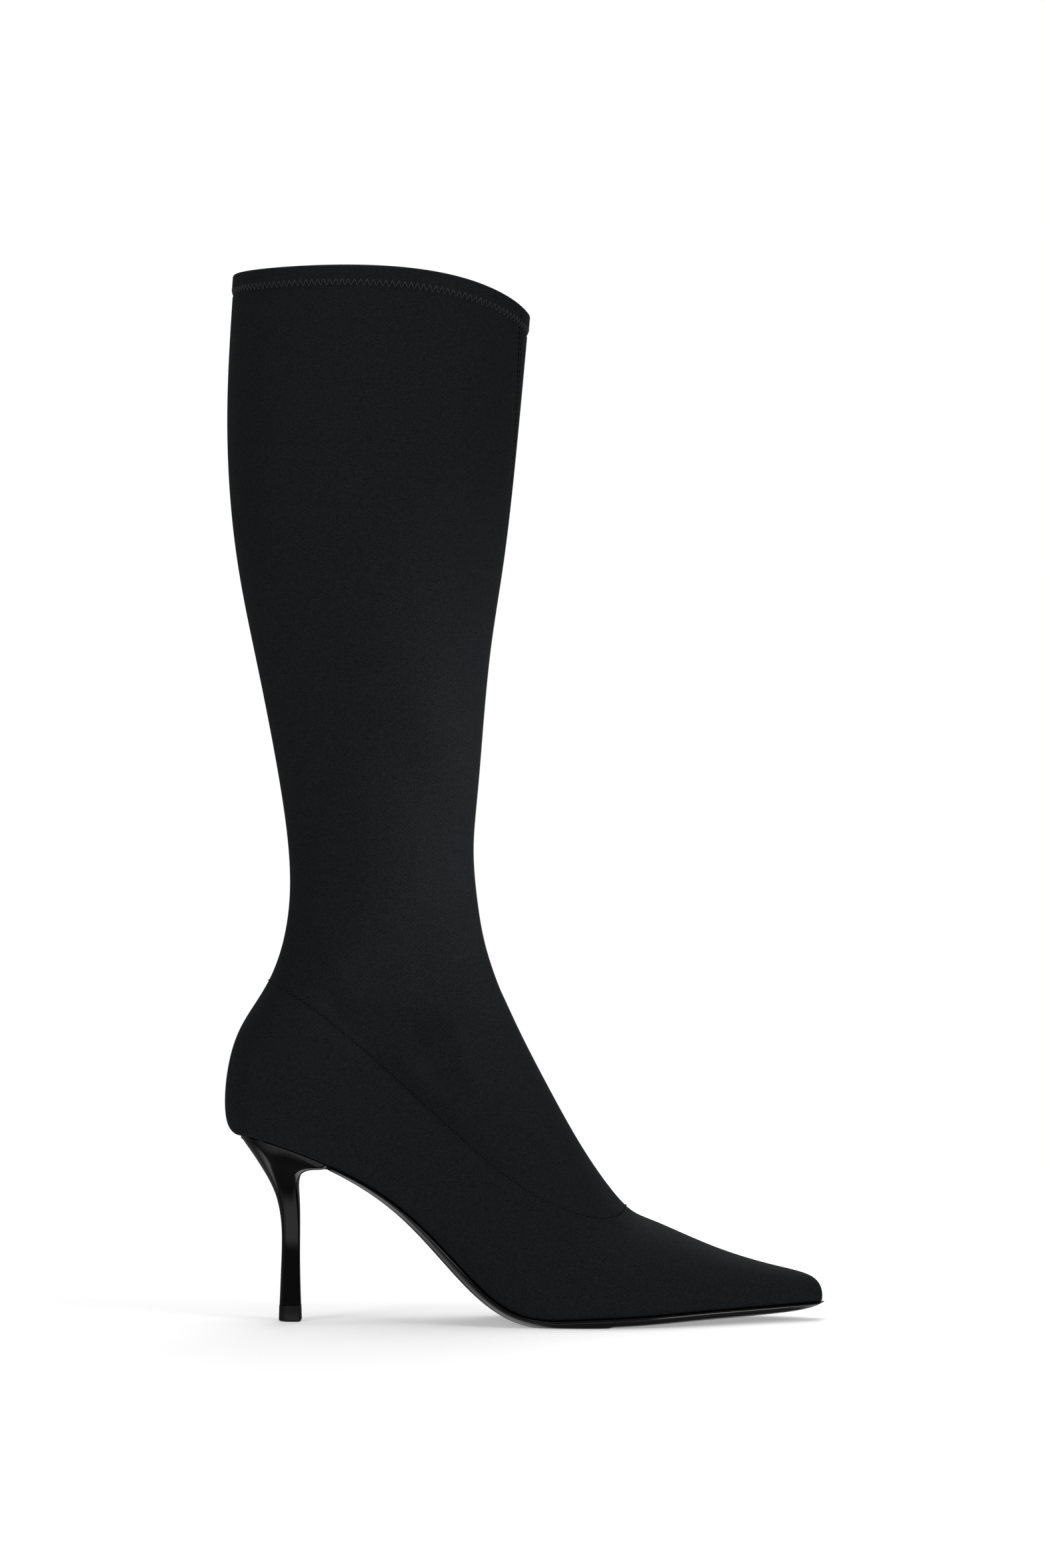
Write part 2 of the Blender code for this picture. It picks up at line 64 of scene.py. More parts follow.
# Each section is a straight line in the side view, from its low end on the sole or the back of the leg to
# its high end on the ridge or the shin, with its greatest half widths, the half widths at the sole, how far
# the ridge swings inwards, where it is widest, the fullness of its crown, the sole's thickness and its bevel.
SECTION_COLUMNS = (
    "low_x", "low_z", "high_x", "high_z", "lateral", "medial", "sole_lateral", "sole_medial",
    "swing", "widest", "crown", "sole", "bevel",
)
SECTIONS = {
    "toe tip": (LENGTH, 8.3, LENGTH, 8.3, 0.0, 0.0, 0.0, 0.0, 6.0, 0.40, 2.0, 1.4, 1.2),
    "toe nose": (257.8, 8.0, 260.1, 12.8, 4.8, 4.7, 4.2, 4.1, 6.0, 0.40, 2.0, 2.3, 1.5),
    "toe box": (250.0, 7.6, 255.0, 19.2, 9.6, 9.2, 8.6, 8.2, 5.7, 0.36, 2.0, 3.6, 1.9),
    "toe": (233.0, 7.0, 237.5, 24.2, 17.6, 16.2, 16.2, 14.8, 4.8, 0.32, 1.9, 4.3, 2.2),
    "vamp": (208.0, 6.2, 212.5, 32.2, 29.2, 26.2, 27.4, 24.2, 3.2, 0.28, 1.8, 4.5, 2.4),
    "ball": (181.0, 4.9, 188.0, 42.8, 38.6, 35.4, 36.4, 32.8, 1.4, 0.27, 1.8, 4.6, 2.6),
    "throat": (156.0, 3.9, 174.6, 50.0, 41.0, 37.6, 37.6, 33.0, 0.2, 0.28, 1.85, 4.5, 3.0),
    "forepart": (132.5, 4.3, 160.4, 68.0, 38.4, 35.0, 33.4, 27.8, -0.4, 0.30, 1.9, 4.2, 5.0),
    "waist": (110.0, 17.9, 147.6, 89.2, 34.4, 31.4, 27.0, 21.6, -0.4, 0.32, 1.9, 5.4, 7.0),
    "shank": (79.0, 49.0, 134.5, 113.7, 31.6, 30.0, 23.4, 20.2, 0.0, 0.34, 1.9, 3.6, 5.0),
    "breast": (44.0, 69.7, 126.5, 129.8, 30.6, 30.0, 23.8, 22.6, 0.0, 0.34, 1.9, 1.7, 1.6),
    "heel seat": (14.5, 80.0, 121.5, 140.6, 30.2, 29.9, 24.0, 23.4, 0.0, 0.33, 1.9, 1.3, 1.0),
    "heel end": (2.7, 83.0, 118.6, 147.4, 30.1, 29.9, 23.6, 23.4, 0.0, 0.33, 1.9, 1.3, 1.0),
    "counter": (0.25, 98.8, 113.5, 163.2, 30.4, 30.2, 23.6, 23.4, 0.0, 0.35, 1.9, 1.3, 1.0),
    "counter top": (6.0, 125.4, 110.2, 181.2, 31.0, 31.0, 23.6, 23.4, 0.0, 0.40, 1.95, 1.3, 1.0),
    "tendon": (20.0, 149.4, 108.6, 197.2, 31.6, 31.6, 23.6, 23.4, 0.0, 0.46, 2.0, 1.3, 1.0),
    "ankle": (28.3, 184.2, 108.7, 213.2, 32.8, 32.8, 23.6, 23.4, 0.0, 0.50, 2.0, 1.3, 1.0),
    "shin": (24.6, 230.2, 111.1, 240.2, 36.2, 36.2, 23.6, 23.4, 0.0, 0.50, 2.0, 1.3, 1.0),
    "low calf": (14.2, 285.2, 115.4, 288.2, 43.0, 43.0, 23.6, 23.4, 0.0, 0.49, 2.0, 1.3, 1.0),
    "calf": (5.0, 334.2, 121.8, 332.2, 49.4, 49.4, 23.6, 23.4, 0.0, 0.48, 2.0, 1.3, 1.0),
    "top of calf": (1.2, 391.2, 127.7, 385.2, 52.0, 52.0, 23.6, 23.4, 0.0, 0.49, 2.0, 1.3, 1.0),
    "collar": (4.2, 454.4, 132.5, 437.2, 50.6, 50.6, 23.6, 23.4, 0.0, 0.50, 2.0, 1.3, 1.0),
}
SECTION_NAMES = list(SECTIONS)
TOE = 0
THROAT = SECTION_NAMES.index("throat")
HEEL_END = SECTION_NAMES.index("heel end")
SEAM_BACK = SECTION_NAMES.index("tendon") - 0.05
COLLAR = len(SECTIONS) - 1


def spline(values):
    """A smooth curve through values at 0, 1, 2 and so on, as a function of an array of places."""
    points = np.asarray(values, float)
    count = len(points)
    system = np.eye(count)
    bends = np.zeros(count)
    for i in range(1, count - 1):
        system[i, i - 1 : i + 2] = (1, 4, 1)
        bends[i] = 3 * (points[i + 1] - 2 * points[i] + points[i - 1])
    bends = np.linalg.solve(system, bends)

    def at(place):
        place = np.asarray(place, float)
        i = np.clip(np.floor(place).astype(int), 0, count - 2)
        t = place - i
        slope = points[i + 1] - points[i] - (2 * bends[i] + bends[i + 1]) / 3
        return points[i] + t * (slope + t * (bends[i] + t * (bends[i + 1] - bends[i]) / 3))

    return at


def columns_of(names, table):
    """A smooth curve down each column of a table, by the column's name."""
    return {name: spline(column) for name, column in zip(names, zip(*table.values()))}


LAST = columns_of(SECTION_COLUMNS, SECTIONS)


def low_end(s):
    """Where section s starts in the side view: on the sole, and past the heel on the back of the leg."""
    return np.stack([LAST["low_x"](s), LAST["low_z"](s)], -1)


def high_end(s):
    """Where section s ends in the side view: on the ridge of the foot or the shin."""
    return np.stack([LAST["high_x"](s), LAST["high_z"](s)], -1)


def sole_half_width(s, side):
    """Half width of the foot where it meets the sole, drawn in to a round end at the heel."""
    from_end = np.clip((LAST["low_x"](s) - LAST["low_x"](HEEL_END)) / HEEL_SEAT_ROUND, 0, 1)
    round_end = np.sqrt(1 - (1 - from_end) ** 2)
    return np.where(np.asarray(s) < HEEL_END, LAST["sole_" + side](s) * round_end, 0.0)


def feather_station(across):
    """The section whose low end lies at a share of the sole's length, from the toe to the heel."""
    places = np.linspace(TOE, HEEL_END, SAMPLES)
    low_x = LAST["low_x"](places)
    return np.interp(-(low_x[0] + (low_x[-1] - low_x[0]) * across), -low_x, places)


def shares_across(steps):
    """Shares from the front to the back, closer together towards both ends, where a piece turns round."""
    return (1 - np.cos(np.linspace(0, np.pi, steps + 1))) / 2


def round_trip(values):
    """Values given from the toe to the heel, repeated on the way back along the inner side."""
    return np.concatenate([values, values[-2:0:-1]])


def sole_down(stations):
    """Unit vectors square to the sole's line in the side view, pointing down."""
    step = 0.02
    after, before = np.clip(stations + step, TOE, HEEL_END), np.clip(stations - step, TOE, HEEL_END)
    along = low_end(after) - low_end(before)
    along = along / np.linalg.norm(along, axis=-1, keepdims=True)
    return np.stack([-along[:, 1], np.zeros(len(along)), along[:, 0]], -1)


def sole_ring(stations, out, down):
    """The sole's outline set out in plan and moved down square to the sole, but not below the floor."""
    low, swing = low_end(stations), LAST["swing"](stations)
    outer = np.stack([low[:, 0], swing - sole_half_width(stations, "lateral"), low[:, 1]], -1)
    inner = np.stack([low[:, 0], swing + sole_half_width(stations, "medial"), low[:, 1]], -1)
    ring = np.concatenate([outer, inner[-2:0:-1]])
    along = np.roll(ring, -1, 0) - np.roll(ring, 1, 0)
    plan_out = np.stack([-along[:, 1], along[:, 0], np.zeros(len(ring))], -1)
    ring = ring + plan_out / np.linalg.norm(plan_out, axis=-1, keepdims=True) * round_trip(out)[:, None]
    ring = ring + round_trip(sole_down(stations) * down[:, None])
    ring[:, 2] = np.maximum(ring[:, 2], 0)
    return ring


def ring_faces(rows, around, closed):
    """Quads that face outwards between closed rows of points that run upwards."""
    low = np.arange(rows if closed else rows - 1)[:, None] * around
    high = (low + around) % (rows * around)
    i = np.arange(around)[None, :]
    j = (i + 1) % around
    return np.stack([low + i, high + i, high + j, low + j], -1).reshape(-1, 4).tolist()


def cap_faces(first, around, facing_up):
    """Strips from side to side that close a row whose two sides mirror each other."""
    faces = []
    for i in range(around // 2):
        corners = list(dict.fromkeys((i, i + 1, around - i - 1, (around - i) % around)))
        faces.append([first + c for c in (corners[::-1] if facing_up else corners)])
    return faces


def solid_faces(rows):
    """Faces of a solid through closed rows of points that run upwards."""
    count, around = rows.shape[:2]
    caps = cap_faces(0, around, False) + cap_faces((count - 1) * around, around, True)
    return ring_faces(count, around, False) + caps


def new_piece(name, points, faces, materials, sharp=180.0):
    """An object of points in millimetres, shaded smooth but for edges above an angle in degrees."""
    mesh = bpy.data.meshes.new(name)
    placed = (np.reshape(points, (-1, 3)) - (BOX_MIDDLE, 0, 0)) * MM
    mesh.from_pydata(placed.tolist(), [], faces)
    mesh.shade_smooth()
    mesh.set_sharp_from_angle(angle=np.radians(sharp))
    for material in materials:
        mesh.materials.append(material)
    piece = bpy.data.objects.new(name, mesh)
    bpy.context.scene.collection.objects.link(piece)
    return piece


def srgb(code):
    """The linear colour of an sRGB hex value."""
    parts = [int(code[i : i + 2], 16) / 255 for i in (0, 2, 4)]
    return [p / 12.92 if p <= 0.04045 else ((p + 0.055) / 1.055) ** 2.4 for p in parts] + [1.0]


def new_material(name, settings):
    """A material whose shader has those settings."""
    material = bpy.data.materials.new(name)
    material.use_nodes = True
    shader = material.node_tree.nodes["Principled BSDF"]
    for socket, value in settings.items():
        shader.inputs[socket].default_value = value
    return material


def add_node(tree, kind, settings, links=()):
    """Adds a node, with its properties and inputs set and its inputs linked to other nodes' outputs."""
    node = tree.nodes.new(kind)
    for name, value in settings.items():
        if isinstance(name, int) or name in node.inputs:
            node.inputs[name].default_value = value
        else:
            setattr(node, name, value)
    for name, output in links:
        tree.links.new(output, node.inputs[name])
    return node


# A dark microfibre nap: matte, with a fine cloudy grain
SOCK_GRAIN = 0.8
SOCK_NAP = 0.1
sock_lining = new_material("napped sock lining", {"Roughness": 0.9, "Sheen Weight": 0.2})
tree = sock_lining.node_tree
shader = tree.nodes["Principled BSDF"]
place = add_node(tree, "ShaderNodeTexCoord", {})
grain = add_node(
    tree, "ShaderNodeTexNoise", {"Scale": 1 / (SOCK_GRAIN * MM), "Detail": 3.0},
    [("Vector", place.outputs["Object"])],
)
tone = add_node(
    tree, "ShaderNodeMix", {"data_type": "RGBA", 6: srgb("1e1d1c"), 7: srgb("2e2c2b")},
    [(0, grain.outputs[0])],
)
tree.links.new(tone.outputs[2], shader.inputs["Base Color"])
nap = add_node(
    tree, "ShaderNodeBump", {"Strength": 0.3, "Distance": SOCK_NAP * MM}, [("Height", grain.outputs[0])]
)
tree.links.new(nap.outputs["Normal"], shader.inputs["Normal"])

stations = feather_station(shares_across(INSOLE_AROUND))
same = np.ones(len(stations))
inset = WALL_FOOT + 2 * GAP
levels = ((0.0, 0.0), (INSOLE_THICK - INSOLE_EDGE, 0.0), (INSOLE_THICK, INSOLE_EDGE))
rows = np.array([sole_ring(stations, -(inset + edge_in) * same, -up * same) for up, edge_in in levels])
insole = new_piece("insole_board", rows, solid_faces(rows), [sock_lining], INSOLE_SHARP)
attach(insole, "root")
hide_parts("insole")


# Upper
# Vamp and quarters in one skin of black stretch knit, bonded to a stiffener and pulled tight over the last.
# Its lower edge turns in at the sole. Its upper edge is sewn to the shaft, along a seam that slants up to the
# back of the heel.

SEAM = {
    "x": (174.6, 168.0, 151.8, 125.8, 93.8, 62.6, 34.0, 19.4),
    "z": (50.0, 46.9, 49.6, 63.1, 90.4, 118.5, 141.0, 148.4),
}
SEAM_LINE = {axis: spline(values) for axis, values in SEAM.items()}
SEAM_END_FADE = 6
SEAM_TUCK = 0.12
SEAM_SOFT = 0.5
SEAM_VALLEY = 2.0
VALLEY_BELOW = 5.0
VALLEY_ABOVE = 11.0
VALLEY_BACK = 22.0
VALLEY_BACK_RUN = 25.0
VALLEY_FRONT = 150.0
VALLEY_FRONT_RUN = 45.0
FEATHER_TUCK = 0.5
FEATHER_SOFT = 0.7
SEAT_ROLL = 0.7
SEAT_ROLL_SOFT = 1.8
SEAT_ROLL_LENGTH = 16.0
COUNTER_EASE = 60
COUNTER_SHARE = 0.5
COUNTER_REACH = 26.0
COUNTER_FADE = 6.0
TOE_THIN = 8.0
TOE_LEAST = 0.05
LEAST_WALL = 1.2
FOOT_AROUND = 120
FOOT_INSIDE_EVERY = 3
FOOT_ROWS = np.concatenate(
    [(0.0, 0.004, 0.009, 0.016), np.linspace(0.03, 0.95, 44), (0.968, 0.98, 0.988, 0.993, 0.9975)]
)


def half_width(s, t, side):
    """Half width of section s at the share t of its line, from the low end to the high end."""
    full = LAST[side](np.maximum(s, NEAR_TIP))
    foot = np.minimum(sole_half_width(s, side), full)
    widest = LAST["widest"](s)
    below = np.clip((widest - t) / widest, 0, 1)
    above = np.clip((t - widest) / (1 - widest), 0, 1)
    turn = 0.5 + 0.5 * (foot / full) ** 2
    low = foot + (full - foot) * (1 - below**2) ** turn
    high = full * np.sqrt(1 - above ** LAST["crown"](s))
    return np.where(t < widest, low, high)


def section_through(points):
    """The section and the share of its line at each side view point, found by halving."""
    first = np.full(points.shape[:-1], NEAR_TIP)
    last = np.full(points.shape[:-1], float(COLLAR))
    for _ in range(HALVINGS):
        s = (first + last) / 2
        line = high_end(s) - low_end(s)
        reach = points - low_end(s)
        ahead = line[..., 0] * reach[..., 1] - line[..., 1] * reach[..., 0] > 0
        first, last = np.where(ahead, s, first), np.where(ahead, last, s)
    line = high_end(s) - low_end(s)
    share = np.sum((points - low_end(s)) * line, -1) / np.sum(line**2, -1)
    return s, np.clip(share, 0, 1)


def seam_point(across):
    """A point of the seam in the side view, at a share of its length in x."""
    places = np.linspace(0, len(SEAM["x"]) - 1, SAMPLES)
    x = SEAM["x"][0] + (SEAM["x"][-1] - SEAM["x"][0]) * across
    place = np.interp(-x, -SEAM_LINE["x"](places), places)
    line = np.stack([SEAM_LINE["x"](place), SEAM_LINE["z"](place)], -1)
    back, front = low_end(SEAM_BACK) - line[-1], high_end(THROAT) - line[0]
    to_back, to_front = across[:, None] ** SEAM_END_FADE, (1 - across[:, None]) ** SEAM_END_FADE
    return line + to_back * back + to_front * front


def patch(across, up, low_edge, high_edge, front, back):
    """Side view points of a panel between four edges, blended evenly from all of them."""
    a, u = across[None, :, None], up[:, None, None]
    ruled_up = (1 - u) * low_edge[None] + u * high_edge[None]
    ruled_across = (1 - a) * front[:, None] + a * back[:, None]
    corners = (1 - u) * ((1 - a) * low_edge[0] + a * low_edge[-1])
    corners = corners + u * ((1 - a) * high_edge[0] + a * high_edge[-1])
    return ruled_up + ruled_across - corners


def on_last(side_view, side, towards):
    """3D points on one side of the last, from points in the side view."""
    s, t = section_through(side_view)
    t[:, 0] = 1.0
    y = LAST["swing"](s) + towards * half_width(s, t, side)
    return np.stack([side_view[..., 0], y, side_view[..., 1]], -1)


def skin_rows(panel, outer_across, inner_across, up):
    """Closed rows over a panel: the outer side from front to back, then the inner side to the front."""
    outer = on_last(panel(outer_across, up), "lateral", -1)
    inner = on_last(panel(inner_across, up), "medial", 1)
    return np.concatenate([outer, inner[:, -2:0:-1]], 1)


def outward(rows):
    """Unit vectors out of a skin of closed rows that run upwards."""
    along = np.roll(rows, -1, 1) - np.roll(rows, 1, 1)
    normal = np.cross(np.gradient(rows, axis=0), along)
    return normal / np.linalg.norm(normal, axis=-1, keepdims=True)


def climb(rows):
    """How far each point of a skin lies above its lowest row, along the surface."""
    steps = np.linalg.norm(np.diff(rows, axis=0), axis=-1)
    return np.concatenate([np.zeros((1, rows.shape[1])), np.cumsum(steps, 0)])


def bell(distance, width):
    """A soft bump that is 1 at no distance and fades over a width."""
    return np.exp(-((distance / width) ** 2))


def step_in(value):
    """A soft step from 0 to 1."""
    t = np.clip(value, 0, 1)
    return t * t * (3 - 2 * t)


def seam_valley(points, away, reach):
    """How far the sewn seam draws the knit in, at points some way from it; its two ends lie level."""
    from_back = step_in((points[..., 0] - VALLEY_BACK) / VALLEY_BACK_RUN)
    from_front = step_in((VALLEY_FRONT - points[..., 0]) / VALLEY_FRONT_RUN)
    return SEAM_VALLEY * (from_back * from_front) * bell(away, reach)


def wall_piece(name, outer, inner, materials):
    """A closed wall, with the first material outside and the second inside."""
    rows = np.concatenate([outer, inner[::-1]])
    around = rows.shape[1]
    piece = new_piece(name, rows, ring_faces(len(rows), around, True), materials)
    inside = np.repeat(np.arange(len(rows)) >= len(outer), around).astype(np.int32)
    piece.data.polygons.foreach_set("material_index", inside)
    return piece


def foot_panel(across, up):
    """Side view points of the upper, from the sole's edge to the seam."""
    front = high_end(THROAT * up)
    back = low_end(HEEL_END + (SEAM_BACK - HEEL_END) * up)
    feather = low_end(feather_station(across))
    return patch(across, up, feather, seam_point(across), front, back)


# Black stretch knit: matte and slightly bluish, with a fine even grain and a soft light rim from its short
# fibres. The loops of the real knit are finer, and the grain is drawn as coarse as it needs to show.
KNIT_GRAIN = 0.42
KNIT_CLOUD = 14.0
KNIT_CLOUD_SHARE = 0.08
KNIT_RELIEF = 0.25
stretch_knit = new_material(
    "black stretch knit",
    {
        "Roughness": 0.75, "Specular IOR Level": 0.1, "Sheen Weight": 0.03, "Sheen Roughness": 0.25,
        "Sheen Tint": srgb("d8d9dc"),
    },
)
tree = stretch_knit.node_tree
shader = tree.nodes["Principled BSDF"]
place = add_node(tree, "ShaderNodeTexCoord", {})
grain = add_node(
    tree, "ShaderNodeTexNoise", {"Scale": 1 / (KNIT_GRAIN * MM), "Detail": 2.0},
    [("Vector", place.outputs["Object"])],
)
cloud = add_node(
    tree, "ShaderNodeTexNoise", {"Scale": 1 / (KNIT_CLOUD * MM), "Detail": 2.0},
    [("Vector", place.outputs["Object"])],
)
contrast = add_node(
    tree, "ShaderNodeMapRange", {"From Min": 0.24, "From Max": 0.76}, [(0, grain.outputs[0])]
)
mottle = add_node(
    tree, "ShaderNodeMix", {"data_type": "FLOAT", 0: KNIT_CLOUD_SHARE},
    [(2, contrast.outputs[0]), (3, cloud.outputs[0])],
)
tone = add_node(
    tree, "ShaderNodeMix", {"data_type": "RGBA", 6: srgb("000000"), 7: srgb("232527")},
    [(0, mottle.outputs[0])],
)
tree.links.new(tone.outputs[2], shader.inputs["Base Color"])
knit = add_node(
    tree, "ShaderNodeBump", {"Strength": 0.8, "Distance": KNIT_RELIEF * MM}, [("Height", grain.outputs[0])]
)
tree.links.new(knit.outputs["Normal"], shader.inputs["Normal"])

# The knit's smooth black back, which shows inside
knit_back = new_material(
    "black knit back", {"Base Color": srgb("121213"), "Roughness": 0.95, "Specular IOR Level": 0.1}
)

across = shares_across(FOOT_AROUND)
foot = skin_rows(foot_panel, across, across, FOOT_ROWS)
to_heel_end = np.linalg.norm(foot[..., (0, 2)] - low_end(HEEL_END), axis=-1)
counter = COUNTER_SHARE * bell(to_heel_end, COUNTER_REACH) * step_in(climb(foot) / COUNTER_FADE)
for _ in range(COUNTER_EASE):
    y = np.pad(foot[..., 1], ((1, 1), (0, 0)), "edge")
    beside = (y[2:] + y[:-2] + np.roll(foot[..., 1], 1, 1) + np.roll(foot[..., 1], -1, 1)) / 4
    foot[..., 1] += counter * (beside - foot[..., 1])
foot_out = outward(foot)
from_low = climb(foot)
from_high = from_low[-1] - from_low
tuck = SEAM_TUCK * bell(from_high, SEAM_SOFT) + FEATHER_TUCK * bell(from_low, FEATHER_SOFT)
tuck += seam_valley(foot, from_high, VALLEY_BELOW)
thin = np.clip((LENGTH - foot[..., 0]) / TOE_THIN, TOE_LEAST, 1)
seat_roll = SEAT_ROLL * bell(from_low, SEAT_ROLL_SOFT) * bell(foot[..., 0], SEAT_ROLL_LENGTH)
foot = foot - foot_out * (1, 1, 0) * seat_roll[..., None]
foot_skin = foot - foot_out * (tuck * thin)[..., None]
foot_back = foot - foot_out * (np.maximum(WALL_FOOT, tuck + LEAST_WALL) * thin)[..., None]
upper = wall_piece("upper_knit", foot_skin, foot_back[::FOOT_INSIDE_EVERY], [stretch_knit, knit_back])
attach(upper, "root")
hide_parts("upper")


# Shaft
# The leg of the boot, a tube of the same knit with a narrow seam down its front and a turned hem round the
# collar. It keeps the form of the leg and falls into soft creases at the ankle and along the foot's seam.

WALL_SHAFT = 1.5
WALL_HEM = 2.4
HEM_DEPTH = 7.5
HEM_STEP = 0.5
HEM_EDGE = 1.0
HEM_NOTCH = 0.35
HEM_NOTCH_BELOW = 0.9
HEM_NOTCH_SOFT = 1.0
COLLAR_ARC = 9.2
COLLAR_LEAN = 0.55
COLLAR_FRONT = 0.02
ARC_FADE = 6
FRONT_SEAM = {
    "z": (200.0, 250.0, 290.0, 328.0, 371.0, 395.0, 450.0),
    "degrees": (0.0, 0.0, 0.6, 3.2, 8.4, 12.4, 19.5),
}
FRONT_SEAM_HALF = 1.2
FRONT_SEAM_SOFT = 0.36
FRONT_SEAM_DEEP = 0.5
FRONT_SEAM_INNER = 0.6
LEG_HALF_WIDTH = 50.0
SEAM_EASE = 6.0
SEAM_ALLOWANCE = 1.0
CREASE_SIDE = 20.0

# Each crease is a line in the side view: x and z of its start, x and z of its end, its width and how far it
# rises, or sinks where that is negative
OUTER_CREASES = {
    "fold over the heel": (26.0, 156.6, 50.0, 154.0, 3.6, 1.0),
    "trough above it": (28.0, 162.4, 42.0, 158.7, 3.8, -0.6),
    "trough below it": (34.0, 149.6, 47.0, 143.8, 3.8, -1.2),
    "hollow of the ankle": (51.8, 135.5, 83.0, 127.9, 8.0, -2.6),
    "ridge along the seam": (76.7, 115.7, 102.7, 92.8, 3.8, 1.8),
    "streak on the instep": (99.6, 128.0, 109.0, 103.0, 4.4, 1.5),
    "trough behind it": (91.0, 110.0, 97.4, 101.0, 3.8, -1.4),
    "ridge down the calf": (66.0, 330.0, 74.0, 300.0, 17.0, 1.0),
    "ridge to the shin": (87.0, 262.0, 105.0, 231.0, 13.0, 2.0),
    "shade down the calf": (50.0, 280.0, 92.0, 226.0, 22.0, -1.7),
}
INNER_CREASES = {
    "fold over the heel": (36.0, 159.0, 58.0, 153.0, 4.6, 0.8),
    "trough above it": (38.0, 166.0, 54.0, 160.5, 4.4, -0.6),
    "trough below it": (38.0, 151.5, 54.0, 144.0, 4.4, -0.9),
    "hollow of the ankle": (55.0, 138.0, 86.0, 123.0, 9.0, -1.4),
    "ridge along the seam": (80.0, 113.0, 106.0, 90.0, 4.6, 1.0),
    "streak on the instep": (102.0, 132.0, 112.0, 108.0, 5.6, 0.9),
    "shade down the calf": (46.0, 282.0, 84.0, 232.0, 16.0, -1.6),
}

# Rows as shares of the way up, with those of the hem's fold in millimetres below the collar. Columns as
# degrees round the leg from its front, close together along the front seam.
SHAFT_EDGE = np.array((0.0004, 0.0009, 0.0016, 0.0026, 0.004, 0.0065, 0.010, 0.015))
SHAFT_LEG = np.linspace(0.02, 0.96, 160)
SHAFT_HEM = np.linspace(0.965, 0.9955, 26)
FOLD = np.array((1.2, 0.85, 0.5, 0.25, 0.08, 0.0))
HEM_ROWS = len(SHAFT_HEM) + len(FOLD) + 2
LEG_INSIDE_EVERY = 4
OUTER_DEGREES = np.concatenate([np.linspace(0, 26, 110), np.linspace(27.5, 180, 90)])
INNER_DEGREES = np.concatenate([np.linspace(0, 3, 14), np.linspace(4.5, 180, 96)])


def crease_rise(points, table, towards):
    """How far creases lift or sink points of one side of the leg."""
    rise = np.zeros(points.shape[:-1])
    for x0, z0, x1, z1, width, height in table.values():
        way = np.array([x1 - x0, z1 - z0])
        reach = points[..., (0, 2)] - (x0, z0)
        share = np.clip(reach @ way / (way @ way), 0, 1)
        away = np.linalg.norm(reach - share[..., None] * way, axis=-1)
        rise += height * bell(away, width)
    return rise * step_in(towards * points[..., 1] / CREASE_SIDE)


def shaft_panel(across, up):
    """Side view points of the shaft, from the seam to the arched edge of the collar."""
    front = high_end(THROAT + (COLLAR - THROAT) * up)
    back = low_end(SEAM_BACK + (COLLAR - SEAM_BACK) * up)
    collar = high_end(COLLAR) + across[:, None] * (low_end(COLLAR) - high_end(COLLAR))
    panel = patch(across, up, seam_point(across), collar, front, back)
    start, end = COLLAR_FRONT**COLLAR_LEAN, (1 + COLLAR_FRONT) ** COLLAR_LEAN
    lean = ((across + COLLAR_FRONT) ** COLLAR_LEAN - start) / (end - start)
    panel[..., 1] += COLLAR_ARC * np.sin(np.pi * lean) * up[:, None] ** ARC_FADE
    return panel


outer_turn, inner_turn = np.radians(OUTER_DEGREES), np.radians(INNER_DEGREES)
leg_length = LAST["high_z"](COLLAR) - LAST["high_z"](THROAT)
shaft_up = np.concatenate([SHAFT_EDGE, SHAFT_LEG, SHAFT_HEM, 1 - FOLD / leg_length])
leg = skin_rows(shaft_panel, (1 - np.cos(outer_turn)) / 2, (1 - np.cos(inner_turn)) / 2, shaft_up)
leg_out = outward(leg)
from_low = climb(leg)
from_high = from_low[-1] - from_low

turn = np.concatenate([outer_turn, -inner_turn[-2:0:-1]])
seam_turn = np.radians(np.interp(leg[..., 2], FRONT_SEAM["z"], FRONT_SEAM["degrees"]))
beside = (turn - seam_turn) * LEG_HALF_WIDTH
seam_groove = bell(beside - FRONT_SEAM_HALF, FRONT_SEAM_SOFT)
seam_groove += FRONT_SEAM_INNER * bell(beside + FRONT_SEAM_HALF, FRONT_SEAM_SOFT)
in_hem = step_in((HEM_DEPTH + HEM_EDGE / 2 - from_high) / HEM_EDGE)
fold = WALL_HEM / 2
rolled = fold - np.sqrt(fold**2 - np.clip(fold - from_high, 0, fold) ** 2)

creases = crease_rise(leg, OUTER_CREASES, -1) + crease_rise(leg, INNER_CREASES, 1)
creases *= step_in(from_low / SEAM_EASE)
creases -= seam_valley(leg, from_low, VALLEY_ABOVE)
leg_rise = creases - FRONT_SEAM_DEEP * seam_groove
leg_rise += HEM_STEP * in_hem
leg_rise -= HEM_NOTCH * bell(from_high - HEM_DEPTH - HEM_NOTCH_BELOW, HEM_NOTCH_SOFT)
leg_rise -= SEAM_TUCK * bell(from_low, SEAM_SOFT)
leg_skin = leg + leg_out * (leg_rise - rolled)[..., None]
leg_wall = WALL_SHAFT + (WALL_HEM - HEM_STEP - WALL_SHAFT) * in_hem
leg_back = leg + leg_out * (creases - leg_wall + rolled)[..., None]
leg_down = leg[0] - leg[1]
leg_back[0] += SEAM_ALLOWANCE * leg_down / np.linalg.norm(leg_down, axis=-1, keepdims=True)
below_hem = len(leg) - HEM_ROWS
inside_rows = np.r_[0:below_hem:LEG_INSIDE_EVERY, below_hem : len(leg) - 1]
shaft = wall_piece("shaft_knit", leg_skin, leg_back[inside_rows], [stretch_knit, knit_back])
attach(shaft, "root")
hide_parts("shaft")


